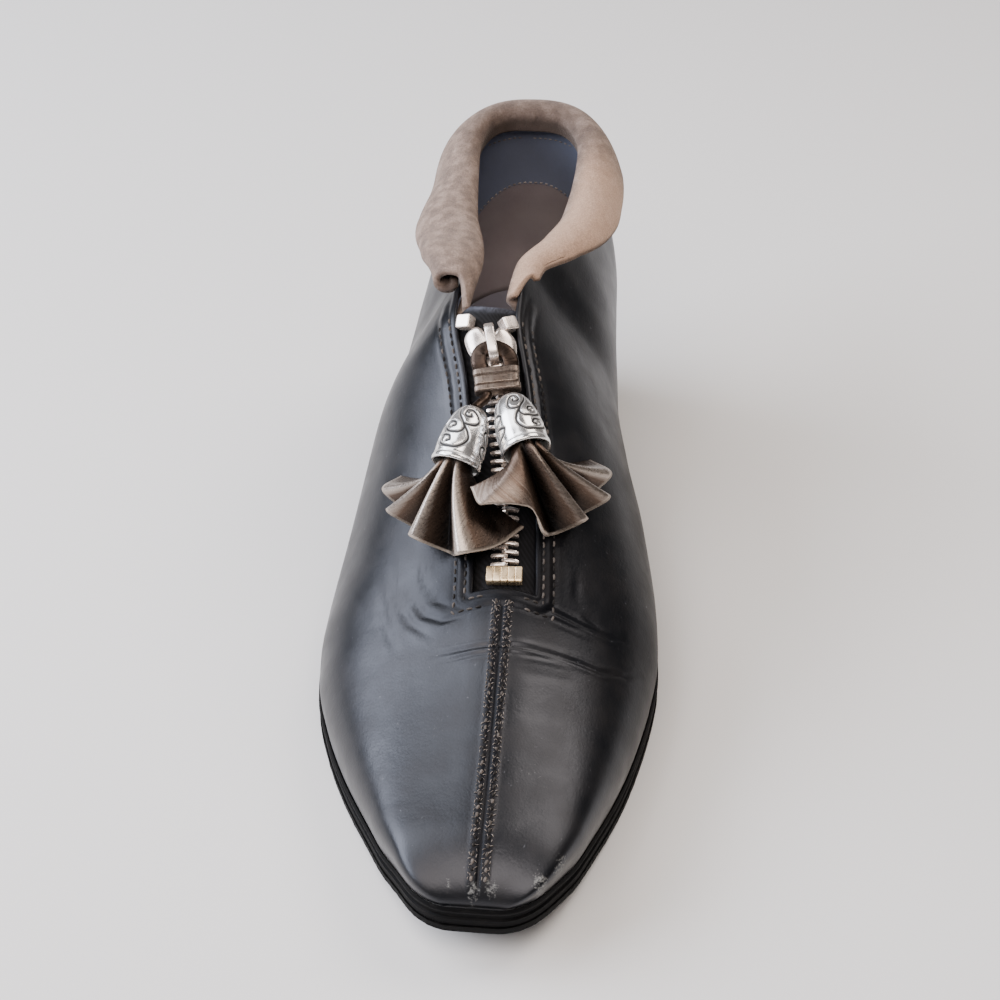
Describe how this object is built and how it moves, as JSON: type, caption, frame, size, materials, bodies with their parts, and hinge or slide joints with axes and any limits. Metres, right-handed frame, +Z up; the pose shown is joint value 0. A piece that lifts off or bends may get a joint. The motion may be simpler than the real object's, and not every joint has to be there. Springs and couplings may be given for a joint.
{
  "type": "front zip ankle boot",
  "caption": "Low right ankle boot in black leather, with a front zip, a turned-down suede collar, a low heel and a zip pull of bell beads with pleated leather tassels.",
  "frame": {"origin": "on the floor, under the middle of the boot's length and width", "axes": "+Z up, the toe looks along -Y and the heel along +Y, +X is the inner (medial) side of this right boot"},
  "size_m": [0.0908, 0.2488, 0.1044],
  "materials": {
    "black_leather": "smooth, soft gloss",
    "black_rubber": "matt",
    "stacked_leather": "dyed and waxed",
    "taupe_suede": "brushed nap",
    "brown_lining": "worn, matt",
    "black_tape": "woven",
    "bright_nickel": "plated",
    "antique_silver": "plated, blackened engraving",
    "gilt_brass": "plated",
    "bronze_leather": "metallic foil"
  },
  "bodies": {
    "root": {"outsole": "black_rubber", "midsole": "black_leather", "welt": "black_leather", "heel": "stacked_leather", "heel_lift": "black_rubber", "insole": "brown_lining", "upper": "black_leather", "cuff": "taupe_suede", "zip_tape": "black_tape", "zip_chain": "bright_nickel", "zip_slider": "bright_nickel", "zip_top_stop_lateral": "bright_nickel", "zip_top_stop_medial": "bright_nickel", "zip_bottom_stop": "gilt_brass", "pull_loop": "bronze_leather", "pull_keeper": "bronze_leather", "pull_cord_lateral": "bronze_leather", "pull_cord_medial": "bronze_leather", "bead_lateral": "antique_silver", "bead_medial": "antique_silver", "tassel_lateral": "bronze_leather", "tassel_medial": "bronze_leather"}
  },
  "joints": []
}
